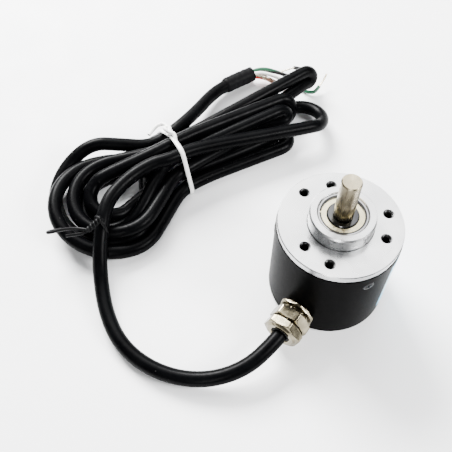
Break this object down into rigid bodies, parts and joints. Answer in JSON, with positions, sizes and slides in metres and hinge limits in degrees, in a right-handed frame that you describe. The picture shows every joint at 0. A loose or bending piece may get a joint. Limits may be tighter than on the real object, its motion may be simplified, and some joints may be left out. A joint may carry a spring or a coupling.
{
  "type": "rotary encoder",
  "caption": "Incremental rotary encoder: round black housing, aluminium face with pilot boss and free-turning shaft, side cable gland and a tied hank of cable ending in bare wires.",
  "frame": {"origin": "centre of the housing's rear face, which rests on the surface", "axes": "+Z along the shaft towards its free end; the cable gland points along -Y"},
  "size_m": [0.1206, 0.1418, 0.055],
  "materials": {
    "black_housing": "satin black coating",
    "machined_aluminium": "fine turned",
    "ground_steel": "ground",
    "bearing_steel": "polished",
    "shield_steel": "pressed sheet",
    "spring_steel": "dark spring steel",
    "black_screw_steel": "black oxide",
    "label_vinyl": "blank pale sticker",
    "nickel_plate": "nickel plated",
    "black_rubber": "matt",
    "cable_jacket": "satin PVC",
    "sleeve_plastic": "matt heat-shrink",
    "white_plastic": "plastic-coated tie",
    "black_plastic": "moulded",
    "led_resin": "clear resin",
    "board_laminate": "green solder mask",
    "connector_plastic": "moulded",
    "red_insulation": "wire insulation",
    "white_insulation": "wire insulation",
    "green_insulation": "wire insulation",
    "black_insulation": "wire insulation",
    "shield_copper": "tinned strands"
  },
  "bodies": {
    "case": {"housing": "black_housing", "front_flange": "machined_aluminium", "board_posts": "machined_aluminium", "front_outer_ring": "bearing_steel", "rear_outer_ring": "bearing_steel", "front_shields": "shield_steel", "rear_shields": "shield_steel", "track_mask": "shield_steel", "front_shield_clips": "spring_steel", "rear_shield_clips": "spring_steel", "preload_washer": "spring_steel", "bore_circlip": "spring_steel", "side_screws": "black_screw_steel", "board_screws": "black_screw_steel", "label": "label_vinyl", "gland_locknut": "nickel_plate", "gland_body": "nickel_plate", "gland_cap_nut": "nickel_plate", "cable_ferrule": "nickel_plate", "gland_seal": "black_rubber", "cable_entry": "cable_jacket", "cable_lead": "cable_jacket", "cable_hank": "cable_jacket", "cable_tail": "cable_jacket", "heat_shrink": "sleeve_plastic", "bundle_tie": "white_plastic", "lead_twist_tie": "black_plastic", "led_holder": "black_plastic", "mask_holder": "black_plastic", "photodetector": "black_plastic", "board_chips": "black_plastic", "led_emitter": "led_resin", "circuit_board": "board_laminate", "board_connector": "connector_plastic", "wire_red": "red_insulation", "inner_leads": "red_insulation", "wire_white": "white_insulation", "wire_green": "green_insulation", "wire_black": "black_insulation", "shield_wire": "shield_copper"},
    "rotor": {"shaft": "ground_steel", "front_inner_ring": "bearing_steel", "rear_inner_ring": "bearing_steel", "bearing_spacer": "ground_steel", "shaft_circlip": "spring_steel", "disc_hub": "machined_aluminium", "hub_set_screw": "ground_steel", "code_disc": "shield_steel", "disc_clamp": "shield_steel"},
    "front_cage": {"front_balls": "bearing_steel", "front_ball_cage": "shield_steel"},
    "rear_cage": {"rear_balls": "bearing_steel", "rear_ball_cage": "shield_steel"}
  },
  "joints": [
    {"name": "shaft_spin", "type": "hinge", "parent": "case", "child": "rotor", "pos_m": [0, 0, 0.035], "axis": [0, 0, 1], "continuous": true},
    {"name": "front_cage_spin", "type": "hinge", "parent": "case", "child": "front_cage", "pos_m": [0, 0, 0.037], "axis": [0, 0, 1], "continuous": true},
    {"name": "rear_cage_spin", "type": "hinge", "parent": "case", "child": "rear_cage", "pos_m": [0, 0, 0.028], "axis": [0, 0, 1], "continuous": true}
  ],
  "couplings": [
    {"joint": "front_cage_spin", "follows": "shaft_spin", "ratio": 0.4083},
    {"joint": "rear_cage_spin", "follows": "shaft_spin", "ratio": 0.4083}
  ]
}
